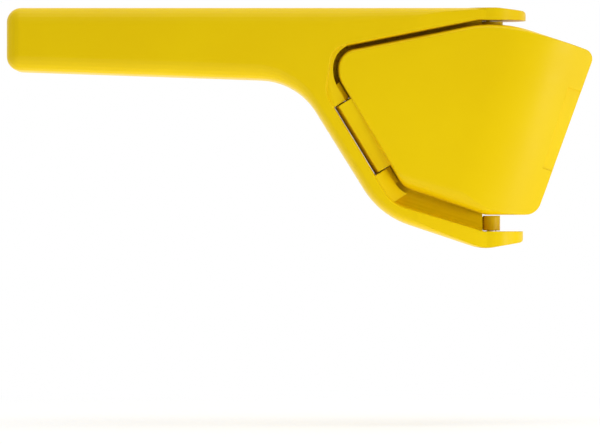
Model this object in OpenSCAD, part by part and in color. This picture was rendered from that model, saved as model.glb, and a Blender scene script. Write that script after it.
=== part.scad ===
// Hinged lemon squeezer: two handles that open sideways on an upright pivot, and two jaws between them.
// Every hinge axis runs through one point below the head, the apex, so the jaws fold flat.
// Millimetres, +Z up. The handles lie toward -X, and the front half lies toward -Y.
// Outlines are drawn as [x, z] seen from the front, with the apex at [0, 0] and the pivot axis on x = 0.
// Depth is measured outward from the fold plane between the two halves.

/* [Handle and frame] */
// distance from the pivot axis to the end of the handle
handle_reach = 195.2; // [150:1:230]
// height of the upper edge above the apex
upper_edge = 136.1; // [130:0.1:142]
// height of the handle at its free end
handle_end_height = 25.2; // [20:0.1:32]
// height of the handle where the spine begins
handle_root_height = 29.2; // [24:0.1:34]
// thickness of one half, from the fold plane to its flat face
half_thickness = 15.5; // [14.5:0.1:18]
// gap between each half and the fold plane
parting_gap = 0.4; // [0.3:0.05:0.8]
// width of the rounded band above the flat of the handle
upper_round = 6.5; // [4:0.1:8]
// width of the rounded band below the flat of the handle
lower_round = 7.2; // [4:0.1:8]
// depth over which the edges of a half round over
round_depth = 6; // [4:0.1:7]
// width of the spine beside the link knuckle, at its lower and upper end
spine_width = [6.4, 7.4]; // [5:0.1:9]
// length of one pocket in the inner side of the handle
pocket_length = 16; // [12:0.5:20]
// number of pockets in the inner side of the handle
pocket_count = 6; // [4:1:6]
// thickness of the ribs between the pockets
pocket_rib = 2; // [1.5:0.1:3]
// wall left around the pockets
handle_wall = 3; // [2:0.1:4]
// depth of the web that closes the window of the frame behind the edges of the jaw
web_depth = 4.2; // [3:0.1:4.5]
// width of that web behind the edge of the jaw
web_lap = 1.5; // [1:0.1:1.8]
// distance from the pivot axis where the arms begin to narrow in plan
arm_taper = 30; // [20:1:34]

/* [Upright pivot] */
// height of the upper face of the lower arm above the apex
lower_arm_top = 46.3; // [42:0.1:50]
// thickness of the lower arm at the pivot
lower_arm_height = 7.2; // [6:0.1:8]
// thickness of the upper arm at the pivot
upper_arm_height = 4.9; // [4.5:0.1:5.5]
// radius of the end of the upper arm round the pivot axis
upper_end_radius = 13.8; // [11:0.1:15]
// radius of the end of the lower arm round the pivot axis
lower_end_radius = 12.7; // [11:0.1:14]
// outer radius of the lower barrel
lower_barrel_radius = 3.45; // [3:0.05:4]
// outer radius of the upper barrel
upper_barrel_radius = 4.6; // [4.3:0.05:5]
// height of either barrel
barrel_height = 6; // [5:0.1:6.4]
// length of the arms that carry the barrels
barrel_arm = 20; // [16:0.5:24]
// radius of the pivot pins
pivot_pin_radius = 2; // [1.5:0.05:2.2]
// length of a pivot pin that stands in the barrel
pivot_pin_engagement = 5.6; // [4:0.1:5.8]

/* [Links between jaw and frame] */
// slant of the link axis from the pivot axis, seen from the front
link_slant = 31; // [30:0.1:32]
// depth of the link axis from the fold plane, at the middle of its knuckle
link_depth = 7.6; // [7.2:0.1:8]
// radius of the link knuckle on the jaw
link_knuckle_radius = 4.5; // [4:0.05:4.8]
// height of the lower end of the link knuckle above the apex
link_knuckle_bottom = 72.1; // [69:0.1:74]
// length of the link knuckle
link_knuckle_length = 31; // [26:0.5:32]
// radius of the link pins
link_pin_radius = 1.5; // [1.2:0.05:1.6]
// length of the link pin that stands in the frame at each end
link_pin_engagement = 6; // [4:0.1:6.5]
// wall of the frame round the link pin
link_boss_wall = 1.7; // [1.4:0.05:1.9]
// gap above and below the link knuckle
link_gap = 0.5; // [0.3:0.05:0.7]
// extra radius of the open seat of the front link pin
seat_play = 0.5; // [0.4:0.05:0.7]
// shift of the front link while the jaws swing
link_shift = 1.3; // [1.2:0.05:1.5]
// distance from the link axis to the flat face of its knuckle
knuckle_face = 6; // [5:0.1:6]
// width of that flat face, left of the link axis
knuckle_flat = 3.2; // [2.4:0.1:3.2]

/* [Jaws] */
// slant of the jaw hinge axis from the pivot axis, seen from the front
hinge_slant = 17.4; // [17:0.1:18]
// distance from the link axis to the left edge of the jaw
jaw_edge = 2.3; // [1.8:0.1:2.6]
// distance from the hinge axis to the right edge of the jaw, at its lower and upper end
jaw_edge_past_hinge = [1.3, 4.4]; // [0.8:0.1:5]
// thickness of the wall of a jaw
jaw_wall = 2.6; // [2:0.1:3]
// height of the peak of the jaw above its left upper corner
jaw_left_drop = 12.9; // [11:0.1:15]
// height of the peak of the jaw above its right upper corner
jaw_right_drop = 12.9; // [10:0.1:16]
// distance of the left upper corner of the jaw from the link axis
jaw_corner_inset = 7.6; // [6:0.1:9]
// height of the slanted left edge of the jaw below its left upper corner
jaw_corner_height = 10.7; // [9:0.1:13]
// height of the left lower corner of the jaw above its lower edge
jaw_foot_height = 11.25; // [9:0.05:14]
// gap between the lower edge of the jaw and the lower arm
lower_gap = 6.65; // [6.6:0.05:8]
// depth where the side walls of a jaw begin
jaw_rim_depth = 6.2; // [6:0.1:6.4]
// width of the domed right part of the jaw
dome_width = 33; // [25:1:38]
// depth of the outer face of the jaw at its right edge
dome_edge_depth = 3; // [2.8:0.1:4]
// number of flats that make up the dome
dome_steps = 26; // [12:1:30]
// swing of each jaw about its hinge, with room to spare
jaw_swing = 25; // [23:0.5:28]
// radius of the knuckles of the jaw hinge
hinge_knuckle_radius = 2.4; // [2.2:0.05:2.6]
// radius of the jaw hinge pin
hinge_pin_radius = 1; // [0.8:0.05:1.2]
// width of the sunk panel over the middle knuckle, left of the hinge axis
hinge_panel = 2.1; // [1.8:0.1:2.6]
// depth that this panel is sunk
hinge_panel_step = 0.45; // [0.2:0.05:0.6]
// distance of the two ends of the jaw hinge from the corners of the jaw, along its axis
hinge_margin = [9, 4]; // [3:0.1:10]
// length of the knuckles at the lower and upper end of the jaw hinge
hinge_end_knuckles = [10, 11.4]; // [8:0.1:18]

/* [Strainers] */
// thickness of a strainer plate
strainer_thickness = 1.8; // [1.4:0.1:2]
// height of the ribs on the strainer plate
strainer_rib_height = 1; // [0.6:0.1:1.2]
// width of a slot in the strainer
slot_width = 1.6; // [1:0.1:2]
// border of the strainer that has no slots
slot_margin = 3; // [2:0.25:5]
// distance from the hinge axis to the nearest slots
slot_end = 21; // [18:0.5:26]
// distance from slot to slot
slot_pitch = 5; // [4:0.25:7]
// height of the floor leaf of the front strainer above the lower edge of the jaw
leaf_height = 11; // [10:0.1:13]
// distance from the floor leaf of the front strainer to that of the back one
leaf_spacing = 2.5; // [2:0.1:4]
// distance from the floor leaf to the end of the slots above it
leaf_border = 6; // [4:0.5:8]
// thickness of a floor leaf
leaf_thickness = 1.5; // [1.2:0.1:1.8]
// gap between the strainer and the dome beside the hinge
dome_clear = 8; // [6:0.5:10]
// places of the posts that carry a strainer, as shares of the width and the height of the jaw
post_places = [[0.2, 0.73], [0.54, 0.81], [0.32, 0.37], [0.74, 0.42]]; // [0.15:0.01:0.85]
// radius of the posts that carry a strainer
post_radius = 2.2; // [1.8:0.1:2.6]
// radius of the pegs at the ends of the posts
peg_radius = 1.1; // [0.9:0.05:1.2]

/* [Clearances] */
// distance from the end of a pin to the face above it
pin_recess = 0.5; // [0.3:0.1:1]
// radial clearance of a pin in the bore that it turns in
running_clearance = 0.05; // [0.02:0.01:0.09]
// gap between pieces that turn past each other
turning_gap = 0.4; // [0.3:0.05:0.5]
// gap along an axis between knuckles
end_gap = 0.3; // [0.2:0.05:0.4]
// gap between the upper edge of the jaw and the frame
upper_gap = 1.6; // [1.4:0.1:1.8]
// distance from the left upper corner of the jaw to that of the window, across and up
corner_gap = [0.7, 1.3]; // [0.5:0.1:1.8]
// clearance round a strainer in its jaw
fit_clearance = 0.15; // [0.1:0.05:0.3]

/* [Hidden] */

yellow = [0.87, 0.72, 0.06];
steel = [0.75, 0.76, 0.78];
eps = 0.01;
beyond = 30;
corner_steps = 9;
round_angles = [0, 18, 35, 51, 66, 79, 90];
$fn = 48;

// ---- places on the two slanted axes, seen from the front: x at a height, moved square to the axis ----

function link_x(z, offset = 0) = -z * tan(link_slant) + offset / cos(link_slant);
function hinge_x(z, offset = 0) = z * tan(hinge_slant) + offset / cos(hinge_slant);

link_slot = link_knuckle_radius + turning_gap;
link_middle = link_knuckle_bottom + link_knuckle_length / 2 * cos(link_slant);
link_lean = link_depth / link_middle;
link_stretch = norm([tan(link_slant), 1, link_lean]);
link_start = link_knuckle_bottom * link_stretch;
link_end = link_start + link_knuckle_length;

// ---- heights above the apex ----

lower_arm_bottom = lower_arm_top - lower_arm_height;
upper_arm_bottom = upper_edge - upper_arm_height;
handle_bend = upper_edge - handle_root_height;
jaw_bottom_height = lower_arm_top + lower_gap;
jaw_peak_height = upper_arm_bottom;
jaw_left_height = jaw_peak_height - jaw_left_drop;
jaw_right_height = jaw_peak_height - jaw_right_drop;
jaw_side_top = jaw_left_height - jaw_corner_height;
jaw_side_bottom = jaw_bottom_height + jaw_foot_height;

// ---- outlines: [x, z, radius, round-over before the corner, round-over after it], anticlockwise ----

jaw_corners = [
    [link_x(jaw_left_height, jaw_corner_inset), jaw_left_height, 8, 1.2, 0.8],
    [link_x(jaw_side_top, jaw_edge), jaw_side_top, 12, 0.8, 0.8],
    [link_x(jaw_side_bottom, jaw_edge), jaw_side_bottom, 8, 0.8, 5],
    [-2.6, jaw_bottom_height, 12, 7, 8],
    [hinge_x(jaw_bottom_height, jaw_edge_past_hinge[0]), jaw_bottom_height, 6.5, 8, 3],
    [hinge_x(jaw_right_height, jaw_edge_past_hinge[1]), jaw_right_height, 4, 2, 2],
    [2.7, jaw_peak_height, 52, 2.2, 1.6]
];
jaw_top_slope = (jaw_peak_height - jaw_left_height) / (jaw_corners[6][0] - jaw_corners[0][0]);
function window_top(x) = jaw_left_height + (x - jaw_corners[0][0]) * jaw_top_slope + upper_gap;
window_left = link_x(jaw_left_height + corner_gap[1], jaw_corner_inset - corner_gap[0]);
window_foot = lower_arm_top + lower_arm_height + 4.3;
window_bend = jaw_side_top - 6.1;
window_right = jaw_corners[0][0] + (upper_arm_bottom - upper_gap - jaw_left_height) / jaw_top_slope;
window_corners = [
    [-lower_barrel_radius, lower_arm_top, 5],
    [link_x(window_foot, -link_slot), window_foot, 14],
    [link_x(window_bend, -link_slot), window_bend, 9],
    [window_left, window_top(window_left), 6],
    [window_right, upper_arm_bottom, 5]
];
// Outer edge of the frame and handle, from the upper edge above the spine.
lever_corners = [
    [link_x(handle_bend), upper_edge, 0, upper_round, upper_round],
    [-handle_reach, upper_edge, 5.8, upper_round, 6],
    [-handle_reach, upper_edge - handle_end_height, 5.8, 6, lower_round],
    [link_x(handle_bend, -link_slot - spine_width[1]), handle_bend, 27, lower_round, 3],
    [link_x(jaw_bottom_height, -link_slot - spine_width[0]), jaw_bottom_height - 0.15, 34, 3, 2.6],
    [-4.1, lower_arm_bottom, 17.6, 2.6, 2.2],
    [lower_end_radius, lower_arm_bottom + 2.9, 1.5, 2.2, 1.5],
    [upper_end_radius, upper_edge - 1.3, 1.5, 1.5, 1.5],
    [2, upper_edge, 24, 1.5, 2]
];
// Edge of the window, with a width for each of its sides; the right side is open.
function window_loop(widths) = [
    [2 * beyond, upper_arm_bottom, 1, 0, widths[0]],
    for (i = [4:-1:0]) [window_corners[i][0], window_corners[i][1], window_corners[i][2],
                        widths[4 - i], widths[5 - i]],
    [2 * beyond, lower_arm_top, 1, widths[5], 0]
];
window_edge = window_loop([0.8, 0.8, 0.8, 0.8, 0.8, 0.8]);
// The cove runs from the edge of the window down to the web, and is widest along the lower arm.
cove_edge = window_loop([-0.2, -0.2, 4.6, 4.6, 6.5, 0]);

// Frame of the finished part: centred in X, with its lowest point on Z = 0 and the fold plane on Y = 0.
lowest = arc_centre(lever_corners, 5)[1] - lever_corners[5][2];
rightmost = arc_centre(jaw_corners, 5)[0] + jaw_corners[5][2];
part_shift = [(handle_reach - rightmost) / 2, 0, -lowest];

// ---- derived sizes ----

boss_radius = link_pin_radius + link_boss_wall;
boss_length = link_pin_engagement + 1.2;
shelf_gap = upper_gap + 0.4;
shelf_reach = 12;
upper_shelf = 24;
lower_shelf = 13;
shelf_rise = 4.4;
upper_shelf_rise = 5.9;
lower_shelf_rise = 8.3;
scoop_radius = 11;
scoop_place = [-26.5, 52.5, web_depth + scoop_radius];
scoop_turn = -20;
seat_radius = link_pin_radius + running_clearance + seat_play;
dome_drop = half_thickness - dome_edge_depth;
dome_reach = dome_width + jaw_edge_past_hinge[1];
dome_radius = (dome_reach * dome_reach + dome_drop * dome_drop) / (2 * dome_drop);
hinge_wall = hinge_knuckle_radius + turning_gap + 2;
jaw_wall_start = upper_barrel_radius + 1.4;
web_end = lower_barrel_radius + turning_gap;
hinge_start = jaw_bottom_height / cos(hinge_slant) + hinge_margin[0];
hinge_end = jaw_right_height / cos(hinge_slant) - hinge_margin[1];
hinge_middle_start = hinge_start + hinge_end_knuckles[0];
hinge_middle_end = hinge_end - hinge_end_knuckles[1];
front_leaf_radius = jaw_bottom_height + leaf_height;
back_leaf_radius = front_leaf_radius + leaf_spacing;
posts = [for (p = post_places) let (z = jaw_bottom_height + p[1] * (jaw_peak_height - jaw_bottom_height))
    [link_x(z) + p[0] * (hinge_x(z) - link_x(z)), z]];
strainer_face = jaw_rim_depth + 0.2;
strainer_back = strainer_face + strainer_thickness;
leaf_edge = strainer_face - strainer_rib_height - turning_gap;
lower_barrel_bottom = lower_arm_top + end_gap;
upper_barrel_bottom = upper_arm_bottom - end_gap - barrel_height;

// ---- outline tools ----

function cross2(u, v) = u[0] * v[1] - u[1] * v[0];
function left_of(d) = [-d[1], d[0]];
function turned(v, w) = [v[0] * cos(w) - v[1] * sin(w), v[0] * sin(w) + v[1] * cos(w)];
function heading(list, i) = let (n = len(list), a = list[(i + n) % n], b = list[(i + 1) % n],
                                 d = [b[0] - a[0], b[1] - a[1]]) d / norm(d);
function turn_at(list, i) = let (u = heading(list, i - 1), v = heading(list, i)) atan2(cross2(u, v), u * v);

function arc_centre(list, i) = [list[i][0], list[i][1]]
    - heading(list, i - 1) * list[i][2] * tan(abs(turn_at(list, i)) / 2)
    + left_of(heading(list, i - 1)) * list[i][2] * sign(turn_at(list, i));

// A corner whose two edges have moved inward by a share of their round-over.
function moved_corner(list, i, share) =
    let (a = left_of(heading(list, i - 1)), b = left_of(heading(list, i)), det = cross2(a, b),
         before = share * list[i][3], after = share * list[i][4], spot = [list[i][0], list[i][1]])
    abs(det) < eps ? spot + a * before : spot + (before * [b[1], -b[0]] + after * [-a[1], a[0]]) / det;

// One corner as points; a corner of radius 0 is a point on a straight edge.
function steps_at(list, i) = list[i][2] == 0 ? 0 : list[i][2] < 3 ? 2 : corner_steps;
function corner_points(spots, i, radius, steps) =
    let (turn = turn_at(spots, i), u = heading(spots, i - 1),
         start = spots[i] - u * radius * tan(abs(turn) / 2),
         centre = start + left_of(u) * radius * sign(turn))
    steps == 0 ? [spots[i]] : [for (k = [0:steps]) centre + turned(start - centre, turn * k / steps)];

// The whole outline as points, its edges moved inward by a share of their round-over.
function outline(list, share = 0) =
    let (spots = [for (i = [0:len(list) - 1]) moved_corner(list, i, share)])
    [for (i = [0:len(list) - 1])
        let (moved = share * (list[i][3] + list[i][4]) / 2,
             radius = turn_at(list, i) > 0 ? max(0.5, list[i][2] - moved) : list[i][2] + moved)
        each corner_points(spots, i, radius, steps_at(list, i))];

// A solid through a pile of outlines; each layer is [share of the round-over, depth].
// Every point of an outline is in sight of its first point.
module layered(list, layers) {
    n = len(outline(list));
    points = [for (l = layers) for (p = outline(list, l[0])) [p[0], p[1], l[1]]];
    sides = [for (l = [0:len(layers) - 2]) for (i = [0:n - 1])
        let (a = l * n + i, b = l * n + (i + 1) % n) each [[a, a + n, b], [b, a + n, b + n]]];
    polyhedron(points, concat(sides, [[for (i = [0:n - 1]) i],
                                      [for (i = [0:n - 1]) len(points) - n + (n - i) % n]]));
}

// Layers of a straight side that turns over into the flat face.
function rounded_layers(bottom, top) =
    [[0, bottom], for (w = round_angles) [1 - cos(w), top - round_depth * (1 - sin(w))]];

module jaw_outline(grow = 0) {
    offset(delta = grow) polygon(outline(jaw_corners));
}

// ---- places ----

// A half is drawn as [x, z, depth] and stood up on its own side of the fold plane.
module in_front() {
    translate(part_shift) rotate([90, 0, 0]) children();
}

module in_back() {
    mirror([0, 1, 0]) in_front() children();
}

// Within a half: the child's Z runs up an axis through the apex, its X to the right and its Y inward.
module on_axis(slant, lean = 0) {
    up = [tan(slant), 1, lean] / norm([tan(slant), 1, lean]);
    right = [cos(slant), -sin(slant), 0];
    inward = cross(up, right);
    multmatrix([[right[0], inward[0], up[0], 0], [right[1], inward[1], up[1], 0],
                [right[2], inward[2], up[2], 0], [0, 0, 0, 1]]) children();
}

module on_pivot() {
    on_axis(0) children();
}

module on_link() {
    on_axis(-link_slant, link_lean) children();
}

module on_hinge() {
    on_axis(hinge_slant) children();
}

module rod(from, to, radius) {
    translate([0, 0, from]) cylinder(h = to - from, r = radius);
}

module block(low, high) {
    translate(low) cube(high - low);
}

// ---- levers ----

// Plan of a half where it narrows toward the pivot, as [x, inward].
module arm_plan(radius) {
    slope = (half_thickness - radius + 0.4) / arm_taper;
    polygon([[-handle_reach - 1, 1], [-handle_reach - 1, -half_thickness - slope * (handle_reach + 1 - arm_taper)],
             [1, -half_thickness + slope * (arm_taper + 1)], [1, 1]]);
}

module lever_plate() {
    difference() {
        intersection() {
            layered(lever_corners, rounded_layers(parting_gap, half_thickness));
            on_pivot() union() {
                linear_extrude(link_middle) arm_plan(lower_end_radius);
                translate([0, 0, link_middle - 1]) linear_extrude(link_middle) arm_plan(upper_end_radius);
            }
        }
        layered(window_edge, [[0, 0], for (w = round_angles)
            [cos(w) - 1, half_thickness - round_depth * (1 - sin(w))], [-1, half_thickness + 1]]);
    }
}

module window_cove() {
    cove_depth = half_thickness - round_depth - web_depth;
    layered(cove_edge, [[1, 0], [1, web_depth],
        for (w = [20, 38, 54, 70, 95]) [1 - sin(w) - (w > 90 ? 0.05 : 0),
                                        web_depth + cove_depth * (1 - cos(w)) + 0.2]]);
}

// Web and cove that close the window of the frame up to the edges of the jaw.
module window_web() {
    difference() {
        translate([0, 0, 1]) linear_extrude(half_thickness - round_depth - 1)
            offset(delta = 0.5) polygon(outline(cove_edge));
        window_cove();
        translate([0, 0, web_depth]) linear_extrude(half_thickness) jaw_outline(turning_gap + 0.2);
        block([-web_end, 0, 0], [3 * beyond, upper_edge, half_thickness]);
    }
    translate([0, 0, parting_gap]) linear_extrude(web_depth - parting_gap) difference() {
        offset(delta = 0.5) polygon(outline(cove_edge));
        jaw_outline(-web_lap);
        translate([-web_end, 0]) square([3 * beyond, upper_edge]);
    }
}

// Boss of the frame round the link pin, above and below the knuckle of the jaw.
module link_boss(from, to) {
    side = boss_radius - 1.2;
    translate([0, 0, from]) linear_extrude(to - from) polygon([
        [-link_slot - 1, -boss_radius], [side - 1.4, -boss_radius], [side, 1.4 - boss_radius],
        [side, boss_radius], [-link_slot - 1, boss_radius]
    ]);
}

// Shelf over a boss: it slopes from the edge of the window, at the given height over the pin, to the jaw.
module link_shelf(from, to, rise) {
    translate([0, 0, from]) linear_extrude(to - from) polygon([
        [-link_slot - 1, -rise], [-link_slot, -rise], [0.6, -shelf_rise], [shelf_reach, -shelf_rise],
        [shelf_reach, 0], [-link_slot - 1, 0]
    ]);
}

// Shelf between the edge of the window and the jaw, in line with the bosses.
module shelves() {
    difference() {
        intersection() {
            on_link() {
                link_shelf(link_end + link_gap, link_end + link_gap + upper_shelf, upper_shelf_rise);
                link_shelf(link_start - link_gap - lower_shelf, link_start - link_gap, lower_shelf_rise);
            }
            translate([0, 0, parting_gap]) linear_extrude(half_thickness - 0.9 - parting_gap)
                polygon(outline(window_edge, -1.1));
        }
        linear_extrude(half_thickness) jaw_outline(shelf_gap);
        // scoop that runs down into the cove along the lower arm
        translate(scoop_place) rotate([0, 0, scoop_turn]) rotate([-90, 0, 0])
            cylinder(h = 2 * beyond, r = scoop_radius, center = true);
    }
}

module handle_pockets() {
    pitch = pocket_length + pocket_rib;
    first = -handle_reach + handle_wall + 2;
    drop = (handle_root_height - handle_end_height) / (handle_reach + link_x(handle_bend));
    for (i = [0:pocket_count - 1]) {
        left = first + i * pitch;
        right = left + pocket_length;
        top = upper_edge - handle_wall;
        floor_left = upper_edge - handle_end_height + handle_wall - drop * (left + handle_reach);
        floor_right = upper_edge - handle_end_height + handle_wall - drop * (right + handle_reach);
        translate([0, 0, -1]) linear_extrude(half_thickness - handle_wall - 1 + 1)
            offset(r = 2, $fn = 16) offset(delta = -2)
                polygon([[left, floor_left], [right, floor_right], [right, top], [left, top]]);
    }
}

// The frame and handle that both halves share, open at the pivot.
module lever_half() {
    difference() {
        union() {
            lever_plate();
            window_web();
            on_link() {
                link_boss(link_start - link_gap - boss_length, link_start - link_gap);
                link_boss(link_end + link_gap, link_end + link_gap + boss_length);
            }
            shelves();
        }
        handle_pockets();
        on_link() block([-link_slot, -beyond, link_start - link_gap],
                        [beyond, beyond, link_end + link_gap]);
    }
}

module back_lever() {
    color(yellow) in_back() difference() {
        union() {
            difference() {
                lever_half();
                on_pivot() {
                    rod(0, lower_barrel_bottom, lower_end_radius + turning_gap);
                    rod(upper_arm_bottom - end_gap, upper_edge + 1, upper_end_radius + turning_gap);
                }
            }
            on_pivot() {
                rod(lower_barrel_bottom, lower_barrel_bottom + barrel_height, lower_barrel_radius);
                block([-barrel_arm, 0.4 - web_depth, lower_barrel_bottom + 0.4],
                      [0, -2 * parting_gap, lower_barrel_bottom + barrel_height - 0.4]);
                rod(upper_barrel_bottom, upper_barrel_bottom + barrel_height, upper_barrel_radius);
                block([-barrel_arm, 0.4 - web_depth, upper_barrel_bottom + 0.4],
                      [0, -2 * parting_gap, upper_barrel_bottom + barrel_height - 0.4]);
            }
        }
        on_pivot() rod(0, upper_edge, pivot_pin_radius + running_clearance);
        on_link() rod(link_start - link_pin_engagement - link_gap - end_gap,
                      link_end + link_pin_engagement + link_gap + end_gap,
                      link_pin_radius + running_clearance);
    }
}

module front_lever() {
    color(yellow) in_front() difference() {
        union() {
            difference() {
                lever_half();
                on_pivot() {
                    rod(lower_arm_top, link_middle, lower_barrel_radius + turning_gap);
                    rod(link_middle, upper_arm_bottom, upper_barrel_radius + turning_gap);
                }
            }
            pivot_end(lower_end_radius, 0, lower_arm_top + end_gap / 2);
            pivot_end(upper_end_radius, upper_arm_bottom - end_gap / 2, upper_edge);
        }
        on_pivot() rod(0, upper_edge + 1, pivot_pin_radius);
        on_link() open_seat();
    }
}

// Rounded end of an arm of the front half, which reaches past the fold plane round the pivot.
module pivot_end(radius, low, high) {
    intersection() {
        translate([0, 0, -radius]) linear_extrude(2 * radius) difference() {
            polygon(outline(lever_corners));
            polygon(outline(window_edge));
        }
        on_pivot() rod(low, high, radius);
    }
}

// Seat that holds the link pin from outside and lets it move inward while the jaws swing.
module open_seat() {
    low = link_start - link_pin_engagement - link_gap - end_gap;
    high = link_end + link_pin_engagement + link_gap + end_gap;
    centre = seat_play * [cos(45), sin(45)];
    translate([centre[0], centre[1], 0]) {
        rod(low, high, seat_radius);
        block([-seat_radius, 0, low], [seat_radius, beyond, high]);
    }
}

// ---- jaws ----

// Everything under the domed outer face of a jaw, less a wall; it is open above the flat of the face.
function dome_rise(u, inset) = sqrt(pow(dome_radius - inset, 2) - u * u) - dome_radius + half_thickness;

module dome(inset = 0) {
    on_hinge() dome_prism(inset);
}

module dome_prism(inset) {
    step = (dome_reach + 3) / dome_steps;
    slope = (dome_rise(step, inset) - dome_rise(2 * step, inset)) / step;
    over = 3;
    linear_extrude(hinge_end + beyond) polygon([
        [-2 * handle_reach, 2], [-2 * handle_reach, -dome_rise(step, inset) - over],
        [step - dome_width - over / slope, -dome_rise(step, inset) - over],
        for (k = [1:dome_steps]) [k * step - dome_width, -dome_rise(k * step, inset)],
        [dome_steps * step - dome_width, 2]
    ]);
}

module jaw_shell() {
    difference() {
        intersection() {
            layered(jaw_corners, rounded_layers(parting_gap, half_thickness));
            dome();
            union() {
                translate([-handle_reach, 0, jaw_rim_depth]) cube([2 * handle_reach, 2 * upper_edge, beyond]);
                translate([jaw_wall_start, 0, 0]) cube([2 * handle_reach, 2 * upper_edge, beyond]);
            }
        }
        // sunk panel over the middle knuckle
        on_hinge() difference() {
            block([-hinge_panel, -beyond, hinge_middle_start], [beyond, -turning_gap, hinge_middle_end]);
            dome_prism(hinge_panel_step);
        }
        intersection() {
            linear_extrude(half_thickness - jaw_wall) jaw_outline(-jaw_wall);
            dome(jaw_wall);
            on_hinge() block([-2 * handle_reach, -beyond, 0], [-hinge_wall, beyond, hinge_end + beyond]);
        }
    }
}

// Knuckle that turns in the notch of the frame, with a flat face outward.
module link_knuckle() {
    on_link() {
        rod(link_start, link_end, link_knuckle_radius);
        translate([0, 0, link_start]) linear_extrude(link_end - link_start) polygon([
            [-knuckle_flat, -knuckle_face], [link_knuckle_radius - 0.3, -knuckle_face],
            [link_knuckle_radius - 0.3, 0], [0, 0], [0.15 - link_knuckle_radius, -1.2]
        ]);
    }
}

module strainer_posts(radius, low, high) {
    for (p = posts) translate([p[0], p[1], low]) cylinder(h = high - low, r = radius);
}

module jaw_half() {
    difference() {
        union() {
            difference() {
                jaw_shell();
                // room for the bosses of the frame, which shift a little in the jaw as it swings
                on_link() translate([0, -link_shift / 2, 0]) {
                    rod(link_start - boss_length - 2, link_start + 0.5, boss_radius + turning_gap + link_shift / 2);
                    rod(link_end - 0.5, link_end + boss_length + 2, boss_radius + turning_gap + link_shift / 2);
                }
            }
            link_knuckle();
            intersection() {
                strainer_posts(post_radius, strainer_back, half_thickness - jaw_wall + 0.8);
                dome(jaw_wall / 2);
            }
            strainer_posts(peg_radius, strainer_face, strainer_back + 1);
        }
        // room past the hinge axis, so the edges of the two jaws never meet
        on_hinge() linear_extrude(hinge_end + beyond) polygon([
            [0, -parting_gap], [beyond, -parting_gap - beyond * tan(jaw_swing)], [beyond, 2], [0, 2]
        ]);
        on_link() rod(link_start - 1, link_end + 1, link_pin_radius);
    }
}

// Knuckle of the jaw hinge, no wider than the edge of the jaw.
module knuckle(from, to) {
    intersection() {
        on_hinge() rod(from, to, hinge_knuckle_radius);
        translate([0, 0, -hinge_knuckle_radius - 1]) linear_extrude(2 * hinge_knuckle_radius + 2) jaw_outline(0.2);
    }
}

module knuckle_room(from, to) {
    rod(from, to, hinge_knuckle_radius + turning_gap);
}

module back_jaw() {
    color(yellow) in_back() difference() {
        union() {
            difference() {
                jaw_half();
                on_hinge() {
                    knuckle_room(hinge_start - 1, hinge_middle_start);
                    knuckle_room(hinge_middle_end, hinge_end + 1);
                }
            }
            knuckle(hinge_middle_start - end_gap / 3, hinge_middle_end + end_gap / 3);
        }
        on_hinge() rod(hinge_start - 2, hinge_end + 2, hinge_pin_radius);
    }
}

module front_jaw() {
    low = hinge_middle_start - end_gap;
    high = hinge_middle_end + end_gap;
    color(yellow) in_front() difference() {
        union() {
            difference() {
                jaw_half();
                on_hinge() {
                    knuckle_room(low - end_gap / 3, high + end_gap / 3);
                }
            }
            knuckle(hinge_start, low);
            knuckle(high, hinge_end);
        }
        on_hinge() rod(hinge_start - 2, hinge_end + 2, hinge_pin_radius + running_clearance);
    }
}

// ---- strainers ----

// Rays from the apex, as strips of one width between two distances.
module rays(width, inner, outer, shift = 0) {
    step = slot_pitch / link_middle * 180 / PI;
    for (i = [-ceil(link_slant / step):ceil(hinge_slant / step)])
        rotate(-(i + shift) * step) translate([-width / 2, inner]) square([width, outer - inner]);
}

module strainer_outline(inset) {
    intersection() {
        jaw_outline(-jaw_wall - fit_clearance - inset);
        translate([-handle_reach, 0]) square([handle_reach + hinge_x(jaw_right_height), 2 * upper_edge]);
    }
}

module post_margin(radius) {
    for (p = posts) translate(p) circle(radius, $fn = 16);
}

module strainer_half(leaf_radius) {
    split = (leaf_radius + upper_arm_bottom) / 2;
    difference() {
        union() {
            intersection() {
                union() {
                    translate([0, 0, strainer_face]) linear_extrude(strainer_thickness) strainer_outline(0);
                    translate([0, 0, strainer_face - strainer_rib_height])
                        linear_extrude(strainer_rib_height + eps) difference() {
                            intersection() {
                                rays(slot_width, leaf_radius, upper_edge, 0.5);
                                strainer_outline(slot_margin - 1);
                            }
                            post_margin(peg_radius + 1);
                        }
                }
                dome(jaw_wall + fit_clearance + 0.3);
                on_hinge() block([-2 * handle_reach, -beyond, 0],
                                 [-hinge_wall - fit_clearance - dome_clear, beyond, hinge_end + beyond]);
            }
        }
        sphere(leaf_radius + eps, $fn = 96);
        translate([0, 0, strainer_face - beyond / 2]) linear_extrude(beyond) difference() {
            intersection() {
                union() {
                    rays(slot_width, leaf_radius + leaf_border, split - slot_width);
                    rays(slot_width, split + slot_width, upper_edge);
                }
                strainer_outline(slot_margin);
                translate([-handle_reach, 0])
                    polygon([[0, 0], [handle_reach + hinge_x(0, -slot_end), 0],
                             [handle_reach + hinge_x(upper_edge, -slot_end), upper_edge], [0, upper_edge]]);
            }
            post_margin(peg_radius + 1.4);
        }
        strainer_posts(peg_radius + running_clearance, -1, strainer_back + 1);
    }
    floor_leaf(leaf_radius);
}

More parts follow.
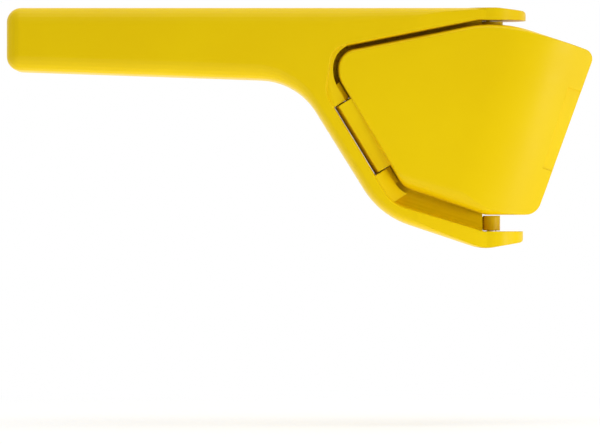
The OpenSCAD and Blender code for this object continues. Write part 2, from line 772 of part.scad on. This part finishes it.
// Curved leaf under the fruit; its radius differs from front to back, so the two leaves slide past each other.
module floor_leaf(radius) {
    difference() {
        intersection() {
            difference() {
                sphere(radius + leaf_thickness, $fn = 96);
                sphere(radius, $fn = 96);
            }
            translate([0, 0, -leaf_edge]) linear_extrude(leaf_edge + strainer_back) strainer_outline(0.2);
            on_hinge() block([-2 * handle_reach, -beyond, 0],
                             [-hinge_wall - 1.2, beyond, hinge_end]);
            dome(jaw_wall + fit_clearance + 0.1);
        }
        translate([0, 0, 1 - leaf_edge]) linear_extrude(leaf_edge + strainer_face - 2.5) intersection() {
            rays(slot_width, radius - leaf_thickness, radius + leaf_border);
            strainer_outline(2);
        }
    }
}

module back_strainer() {
    color(yellow) in_back() strainer_half(back_leaf_radius);
}

module front_strainer() {
    color(yellow) in_front() strainer_half(front_leaf_radius);
}

// ---- pins ----

module upper_pivot_pin() {
    color(steel) in_front() on_pivot()
        rod(upper_arm_bottom - end_gap - pivot_pin_engagement, upper_edge - pin_recess, pivot_pin_radius);
}

module lower_pivot_pin() {
    color(steel) in_front() on_pivot()
        rod(lowest + pin_recess, lower_barrel_bottom + pivot_pin_engagement, pivot_pin_radius);
}

module link_pin() {
    on_link() rod(link_start - link_gap - link_pin_engagement, link_end + link_gap + link_pin_engagement,
                  link_pin_radius);
}

module back_link_pin() {
    color(steel) in_back() link_pin();
}

module front_link_pin() {
    color(steel) in_front() link_pin();
}

module jaw_hinge_pin() {
    color(steel) in_front() on_hinge() rod(hinge_start + pin_recess, hinge_end - pin_recess, hinge_pin_radius);
}

back_lever();
front_lever();
back_jaw();
front_jaw();
back_strainer();
front_strainer();
upper_pivot_pin();
lower_pivot_pin();
back_link_pin();
front_link_pin();
jaw_hinge_pin();
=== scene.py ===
"""Looks of a hinged lemon squeezer: satin yellow shells, drawn steel pins, a white table and studio light.

Every surface of the object is a CAD node, so this script gives the nodes their finishes, builds the
table and the lamps, and sets the camera. Lengths are in metres, +Z is up and +Y runs into the picture.
"""

from __future__ import annotations

import logging
import math
from dataclasses import dataclass, field
from enum import Enum

import bpy
import numpy as np
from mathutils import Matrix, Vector


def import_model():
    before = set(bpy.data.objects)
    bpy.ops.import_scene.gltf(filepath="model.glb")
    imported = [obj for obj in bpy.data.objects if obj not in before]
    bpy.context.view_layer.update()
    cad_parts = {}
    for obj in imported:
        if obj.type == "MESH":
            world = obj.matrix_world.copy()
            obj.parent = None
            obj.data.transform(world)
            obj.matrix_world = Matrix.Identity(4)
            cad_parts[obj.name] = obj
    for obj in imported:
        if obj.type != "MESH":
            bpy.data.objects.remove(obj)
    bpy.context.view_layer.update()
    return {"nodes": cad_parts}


LOG = logging.getLogger("lemon_squeezer")

Colour = tuple[float, float, float]
Triple = tuple[float, float, float]
Socket = bpy.types.NodeSocket

WHITE: Colour = (1.0, 1.0, 1.0)
QUARTER_TURN = math.pi / 2

# The curve of screen colours: a straight line up to its start, and a shifted power above.
SCREEN_FULL = 255.0
CURVE_START = 0.04045
CURVE_SLOPE = 12.92
CURVE_SHIFT = 0.055
CURVE_POWER = 2.4

# The Mix node's sockets for colours. Their names repeat, so they are found by number.
MIX_FIRST_COLOUR = 6
MIX_SECOND_COLOUR = 7
MIX_COLOUR_RESULT = 2

# A noise stays mostly between these two values.
NOISE_LOW = 0.3
NOISE_HIGH = 0.7


def linear(red: int, green: int, blue: int) -> Colour:
    """Turn a screen colour into the linear colour that a shader takes.

    A dark value is divided by the slope of the curve's straight part. Any other has the shift
    added, is divided by one plus the shift, and is raised to the curve's power.

    Args:
        red: Screen value of red, 0 to 255.
        green: Screen value of green, 0 to 255.
        blue: Screen value of blue, 0 to 255.

    Returns:
        The same colour in linear light.
    """
    screen = np.array([red, green, blue]) / SCREEN_FULL
    low = screen / CURVE_SLOPE
    high = ((screen + CURVE_SHIFT) / (1.0 + CURVE_SHIFT)) ** CURVE_POWER
    return tuple(float(value) for value in np.where(screen <= CURVE_START, low, high))


@dataclass(frozen=True)
class Grain:
    """A noise on the object's own coordinates: waves per metre on each axis, octaves and their weight."""

    waves: Triple
    octaves: float
    weight: float


@dataclass(frozen=True)
class Relief:
    """A slight unevenness of a surface: the noise that shapes it, its strength and its depth."""

    grain: Grain
    strength: float
    depth: float


class Bench:
    """Adds shader nodes to one material or world and joins them."""

    def __init__(self, holder: bpy.types.Material | bpy.types.World) -> None:
        """Empty the node tree of a material or a world, to build a new one in it.

        Args:
            holder: The material or world that gets the nodes.
        """
        self.holder = holder
        self.holder.use_nodes = True
        self.tree = self.holder.node_tree
        self.tree.nodes.clear()

    @classmethod
    def material(cls, name: str) -> Bench:
        """Start a bench on a new material called name."""
        return cls(bpy.data.materials.new(name))

    def add(self, kind: str, **settings: object) -> bpy.types.Node:
        """Add one node.

        Args:
            kind: The node's Blender type.
            **settings: Attributes of the node, set by name.

        Returns:
            The new node.
        """
        node = self.tree.nodes.new(kind)
        for key, value in settings.items():
            setattr(node, key, value)
        return node

    def join(self, source: Socket, target: Socket) -> None:
        """Link an output socket to an input socket."""
        self.tree.links.new(source, target)

    def place(self, stretch: Triple = (1.0, 1.0, 1.0)) -> Socket:
        """Give the object's own coordinates.

        Args:
            stretch: Factor for each axis.

        Returns:
            The stretched coordinates.
        """
        coordinates = self.add("ShaderNodeTexCoord")
        mapping = self.add("ShaderNodeMapping")
        mapping.inputs["Scale"].default_value = stretch
        self.join(coordinates.outputs["Object"], mapping.inputs["Vector"])
        return mapping.outputs["Vector"]

    def noise(self, grain: Grain) -> Socket:
        """Add a noise on the object's coordinates.

        Args:
            grain: The noise's size and detail.

        Returns:
            The factor of the noise, 0 to 1.
        """
        node = self.add("ShaderNodeTexNoise")
        node.inputs["Scale"].default_value = 1.0
        node.inputs["Detail"].default_value = grain.octaves
        node.inputs["Roughness"].default_value = grain.weight
        self.join(self.place(grain.waves), node.inputs["Vector"])
        return node.outputs["Fac"]

    def spread(self, source: Socket, low: float, high: float,
               source_low: float = NOISE_LOW, source_high: float = NOISE_HIGH) -> Socket:
        """Map a value in a straight line from one range to another, and hold it there.

        Args:
            source: The value to map.
            low: Result at source_low and below.
            high: Result at source_high and above.
            source_low: Start of the source's range.
            source_high: End of the source's range.

        Returns:
            The mapped value.
        """
        node = self.add("ShaderNodeMapRange")
        node.inputs["From Min"].default_value = source_low
        node.inputs["From Max"].default_value = source_high
        node.inputs["To Min"].default_value = low
        node.inputs["To Max"].default_value = high
        self.join(source, node.inputs["Value"])
        return node.outputs["Result"]

    def blend(self, factor: Socket, first: Colour | Socket, second: Colour) -> Socket:
        """Mix two colours.

        Args:
            factor: Share of the second colour, 0 to 1.
            first: A fixed colour, or the socket that gives one.
            second: A fixed colour.

        Returns:
            The mixed colour.
        """
        node = self.add("ShaderNodeMix", data_type="RGBA")
        if isinstance(first, bpy.types.NodeSocket):
            self.join(first, node.inputs[MIX_FIRST_COLOUR])
        else:
            node.inputs[MIX_FIRST_COLOUR].default_value = (*first, 1.0)
        node.inputs[MIX_SECOND_COLOUR].default_value = (*second, 1.0)
        self.join(factor, node.inputs["Factor"])
        return node.outputs[MIX_COLOUR_RESULT]

    def mix_shaders(self, factor: Socket, first: Socket, second: Socket) -> Socket:
        """Mix two shaders.

        Args:
            factor: Share of the second shader, 0 to 1.
            first: The shader at factor 0.
            second: The shader at factor 1.

        Returns:
            The mixed shader.
        """
        node = self.add("ShaderNodeMixShader")
        for source, target in zip((factor, first, second), node.inputs):
            self.join(source, target)
        return node.outputs["Shader"]

    def calculate(self, operation: str, first: Socket, second: Socket) -> Socket:
        """Work out one value from two.

        Args:
            operation: The Math node's operation.
            first: The first value.
            second: The second value.

        Returns:
            The result.
        """
        node = self.add("ShaderNodeMath", operation=operation)
        self.join(first, node.inputs[0])
        self.join(second, node.inputs[1])
        return node.outputs[0]

    def seen(self) -> Socket:
        """Tell light that is seen from light that only falls on things.

        Returns:
            1 for what the camera sees straight, in a mirror or through glass, and 0 for other light.
        """
        path = self.add("ShaderNodeLightPath")
        seen = path.outputs["Is Camera Ray"]
        for other in ("Is Glossy Ray", "Is Transmission Ray"):
            seen = self.calculate("MAXIMUM", seen, path.outputs[other])
        return seen

    def glow(self, strength: Socket | None = None) -> Socket:
        """Add a white glow.

        Args:
            strength: The glow's strength, or None for 1, which is white.

        Returns:
            The glow's shader.
        """
        node = self.add("ShaderNodeEmission")
        node.inputs["Color"].default_value = (*WHITE, 1.0)
        if strength is not None:
            self.join(strength, node.inputs["Strength"])
        return node.outputs["Emission"]

    def soft_edge(self, radius: float, samples: int = 6) -> Socket:
        """Give a normal that turns smoothly over sharp edges, as a mould leaves them.

        Args:
            radius: Radius of the edges.
            samples: Looks at the neighbouring faces for each point.

        Returns:
            The softened normal.
        """
        node = self.add("ShaderNodeBevel", samples=samples)
        node.inputs["Radius"].default_value = radius
        return node.outputs["Normal"]

    def bump(self, height: Socket, strength: float, depth: float, under: Socket | None = None) -> Socket:
        """Turn a height into a normal.

        Args:
            height: The height, 0 to 1.
            strength: How strongly the height tilts the normal.
            depth: Depth of the full height.
            under: The normal that it lies on, or None for the plain surface.

        Returns:
            The tilted normal.
        """
        node = self.add("ShaderNodeBump")
        node.inputs["Strength"].default_value = strength
        node.inputs["Distance"].default_value = depth
        self.join(height, node.inputs["Height"])
        if under is not None:
            self.join(under, node.inputs["Normal"])
        return node.outputs["Normal"]

    def lay(self, relief: Relief, under: Socket) -> Socket:
        """Lay a relief over a normal and give the normal of both."""
        return self.bump(self.noise(relief.grain), relief.strength, relief.depth, under)

    def surface(self) -> bpy.types.Node:
        """Add a material's shader and join it to the material's output.

        Returns:
            The Principled BSDF node.
        """
        shader = self.add("ShaderNodeBsdfPrincipled")
        output = self.add("ShaderNodeOutputMaterial")
        self.join(shader.outputs["BSDF"], output.inputs["Surface"])
        return shader


@dataclass(frozen=True)
class SatinShell:
    """Satin moulded plastic: an even colour with faint flow clouds, a fine pebble and soft gloss."""

    name: str
    base: Colour
    cloud: Colour
    roughness: float = 0.33
    smoother: float = 0.04
    rougher: float = 0.05
    refraction: float = 1.47
    specular: float = 0.14
    edge: float = 0.0005
    clouds: Grain = Grain((26.0, 26.0, 26.0), 4.0, 0.55)
    smears: Grain = Grain((90.0, 90.0, 180.0), 3.0, 0.6)
    ripple: Relief = Relief(Grain((38.0, 38.0, 38.0), 1.0, 0.4), 0.10, 0.0006)
    pebble: Relief = Relief(Grain((2600.0, 2600.0, 2600.0), 2.0, 0.5), 0.05, 0.00008)

    def material(self) -> bpy.types.Material:
        """Build the finish: clouds mix two yellows, smears vary the gloss, and reliefs lie on soft edges.

        Returns:
            The new material.
        """
        bench = Bench.material(self.name)
        shader = bench.surface()
        clouds = bench.spread(bench.noise(self.clouds), 0.0, 1.0)
        bench.join(bench.blend(clouds, self.base, self.cloud), shader.inputs["Base Color"])
        smooth, rough = self.roughness - self.smoother, self.roughness + self.rougher
        bench.join(bench.spread(bench.noise(self.smears), smooth, rough), shader.inputs["Roughness"])
        ripple = bench.lay(self.ripple, bench.soft_edge(self.edge))
        bench.join(bench.lay(self.pebble, ripple), shader.inputs["Normal"])
        shader.inputs["Specular IOR Level"].default_value = self.specular
        shader.inputs["IOR"].default_value = self.refraction
        return bench.holder


@dataclass(frozen=True)
class DrawnSteel:
    """Drawn steel wire for the pins: fine marks along the upright axis and a soft shine."""

    name: str
    bright: Colour
    dull: Colour
    roughness: float = 0.26
    smoother: float = 0.05
    rougher: float = 0.08
    marks: Grain = Grain((5200.0, 5200.0, 160.0), 3.0, 0.6)
    mark_strength: float = 0.08
    mark_depth: float = 0.00005

    def material(self) -> bpy.types.Material:
        """Build the finish: long thin marks along Z vary colour and gloss and cut in slightly.

        Returns:
            The new material.
        """
        bench = Bench.material(self.name)
        shader = bench.surface()
        shader.inputs["Metallic"].default_value = 1.0
        marks = bench.noise(self.marks)
        bench.join(bench.blend(bench.spread(marks, 0.0, 1.0), self.dull, self.bright),
                   shader.inputs["Base Color"])
        rough, smooth = self.roughness + self.rougher, self.roughness - self.smoother
        bench.join(bench.spread(marks, rough, smooth), shader.inputs["Roughness"])
        bench.join(bench.bump(marks, self.mark_strength, self.mark_depth), shader.inputs["Normal"])
        return bench.holder


class Part(Enum):
    """The kinds of piece, each with the CAD nodes that it covers."""

    LEVERS = ("back_lever", "front_lever")
    JAWS = ("back_jaw", "front_jaw")
    STRAINERS = ("back_strainer", "front_strainer")
    PINS = ("upper_pivot_pin", "lower_pivot_pin", "back_link_pin", "front_link_pin", "jaw_hinge_pin")


@dataclass
class Squeezer:
    """The squeezer itself: gives each CAD node the finish of its kind."""

    nodes: dict[str, bpy.types.Object]
    lever_shell: SatinShell = SatinShell("lever_shell", linear(246, 211, 4), linear(243, 206, 3))
    jaw_shell: SatinShell = SatinShell("jaw_shell", linear(247, 212, 4), linear(244, 207, 3))
    strainer_shell: SatinShell = SatinShell("strainer_shell", linear(240, 202, 6), linear(235, 196, 5),
                                            roughness=0.38)
    pin_steel: DrawnSteel = DrawnSteel("pin_steel", (0.62, 0.63, 0.65), (0.50, 0.51, 0.53))

    def finish_of(self, part: Part) -> SatinShell | DrawnSteel:
        """Give the finish of one kind of piece."""
        return {Part.LEVERS: self.lever_shell, Part.JAWS: self.jaw_shell,
                Part.STRAINERS: self.strainer_shell, Part.PINS: self.pin_steel}[part]

    def dress(self) -> None:
        """Put each kind's material on its nodes."""
        for part in Part:
            material = self.finish_of(part).material()
            for name in part.value:
                mesh = self.nodes[name].data
                mesh.materials.clear()
                mesh.materials.append(material)
                LOG.info("dressed %s with %s", name, material.name)


@dataclass
class Table:
    """The white table under the squeezer, which only shows where the squeezer shades it."""

    drop: float = 0.0715
    half_width: float = 1.6
    front: float = 0.42
    back: float = 1.6
    steps: int = 8
    albedo: float = 0.8
    glow: float = 0.30
    under_light: float = 0.52
    shade_reach: float = 0.17
    shade_end: float = 0.374

    def build(self) -> bpy.types.Object:
        """Make the table top as a flat grid of squares, with z = -drop for every x and y.

        Returns:
            The table top.
        """
        across = np.linspace(-self.half_width, self.half_width, self.steps + 1)
        along = np.linspace(-self.front, self.back, self.steps + 1)
        x, y = np.meshgrid(across, along, indexing="ij")
        points = np.stack([x, y, np.full_like(x, -self.drop)], axis=-1).reshape(-1, 3)
        row = self.steps + 1
        i, j = np.meshgrid(np.arange(self.steps), np.arange(self.steps), indexing="ij")
        corner = (i * row + j).ravel()
        faces = np.stack([corner, corner + row, corner + row + 1, corner + 1], axis=-1)
        mesh = bpy.data.meshes.new("table_top")
        mesh.from_pydata(points.tolist(), [], faces.tolist())
        mesh.materials.append(self.material())
        top = bpy.data.objects.new("table_top", mesh)
        bpy.context.scene.collection.objects.link(top)
        LOG.info("built %s", top.name)
        return top

    def material(self) -> bpy.types.Material:
        """Build the table's finish: white where it is seen, less the shade round the squeezer.

        Where it is seen near the squeezer, a glow lifts the lit parts of a pale floor to white.
        Between shade_reach and shade_end that turns to plain white. For other light the floor
        glows by under_light, which lights the squeezer from below. Seen from below it is clear.

        Returns:
            The new material.
        """
        bench = Bench.material("table_white")
        floor = bench.add("ShaderNodeBsdfDiffuse")
        floor.inputs["Color"].default_value = (self.albedo, self.albedo, self.albedo, 1.0)
        seen = bench.seen()
        near = bench.add("ShaderNodeAddShader")
        bench.join(floor.outputs["BSDF"], near.inputs[0])
        bench.join(bench.glow(bench.spread(seen, self.under_light, self.glow, 0.0, 1.0)), near.inputs[1])
        reach = bench.add("ShaderNodeVectorMath", operation="LENGTH")
        bench.join(bench.place(), reach.inputs[0])
        away = bench.spread(reach.outputs["Value"], 0.0, 1.0, self.shade_reach, self.shade_end)
        fade = bench.calculate("MULTIPLY", away, seen)
        top = bench.mix_shaders(fade, near.outputs["Shader"], bench.glow())
        below = bench.add("ShaderNodeNewGeometry").outputs["Backfacing"]
        clear = bench.add("ShaderNodeBsdfTransparent").outputs["BSDF"]
        output = bench.add("ShaderNodeOutputMaterial")
        bench.join(bench.mix_shaders(below, top, clear), output.inputs["Surface"])
        return bench.holder


@dataclass
class Lamp:
    """One area lamp that looks at a point of the squeezer: its size in metres and its power in watts."""

    name: str
    place: Triple
    size: tuple[float, float]
    power: float
    target: Triple = (0.0, 0.0, 0.05)

    def build(self) -> bpy.types.Object:
        """Make the lamp and turn it to its target.

        Returns:
            The lamp.
        """
        data = bpy.data.lights.new(self.name, "AREA")
        data.shape = "RECTANGLE"
        data.size, data.size_y = self.size
        data.energy = self.power
        lamp = bpy.data.objects.new(self.name, data)
        lamp.location = self.place
        aim = Vector(self.target) - Vector(self.place)
        lamp.rotation_euler = aim.to_track_quat("-Z", "Y").to_euler()
        bpy.context.scene.collection.objects.link(lamp)
        LOG.info("built %s", lamp.name)
        return lamp


@dataclass
class Studio:
    """White room, lamps and camera, at the photograph's level view."""

    lamps: list[Lamp] = field(default_factory=lambda: [
        Lamp("top_lamp", (0.05, -0.10, 0.90), (0.9, 0.6), 2.9),
        Lamp("right_lamp", (0.64, -0.48, -0.04), (0.09, 0.26), 1.5),
        Lamp("edge_lamp", (0.60, -0.16, 0.00), (0.20, 0.10), 0.30, (0.08, 0.0, 0.02)),
    ])
    wall_light: Colour = (0.05, 0.05, 0.05)
    ceiling_light: Colour = (0.82, 0.82, 0.82)
    ceiling_start: float = 0.8
    frame_width: float = 0.2423
    aim_height: float = 0.01045
    lens: float = 300.0
    sensor: float = 36.0

    def light(self) -> None:
        """Place the lamps and make the room, white where it is seen, dim at its walls and bright above."""
        for lamp in self.lamps:
            lamp.build()
        world = bpy.data.worlds.new("white_room")
        bpy.context.scene.world = world
        bench = Bench(world)
        direction = bench.add("ShaderNodeSeparateXYZ")
        bench.join(bench.add("ShaderNodeTexCoord").outputs["Generated"], direction.inputs["Vector"])
        height = bench.spread(direction.outputs["Z"], 0.0, 1.0, 0.0, self.ceiling_start)
        room = bench.blend(height, self.wall_light, self.ceiling_light)
        back = bench.add("ShaderNodeBackground")
        bench.join(bench.blend(bench.seen(), room, WHITE), back.inputs["Color"])
        output = bench.add("ShaderNodeOutputWorld")
        bench.join(back.outputs["Background"], output.inputs["Surface"])

    def camera(self) -> bpy.types.Object:
        """Set a level camera in front of the squeezer, as far off as the photograph's frame needs.

        The distance is the frame's width at the squeezer times the lens over the sensor's width.
        A camera looks straight down until it is turned, so a quarter turn levels it.

        Returns:
            The camera.
        """
        data = bpy.data.cameras.new("camera")
        data.lens = self.lens
        data.sensor_width = self.sensor
        distance = self.frame_width * self.lens / self.sensor
        camera = bpy.data.objects.new("camera", data)
        camera.location = (0.0, -distance, self.aim_height)
        camera.rotation_euler = (QUARTER_TURN, 0.0, 0.0)
        bpy.context.scene.collection.objects.link(camera)
        bpy.context.scene.camera = camera
        return camera

    def expose(self) -> None:
        """Show colours as they are written."""
        bpy.context.scene.view_settings.view_transform = "Standard"


def main() -> None:
    """Load the frame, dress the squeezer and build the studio."""
    logging.basicConfig(level=logging.INFO, format="%(name)s: %(message)s")
    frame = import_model()
    Squeezer(frame["nodes"]).dress()
    Table().build()
    studio = Studio()
    studio.light()
    studio.camera()
    studio.expose()


if __name__ == "__main__":
    main()
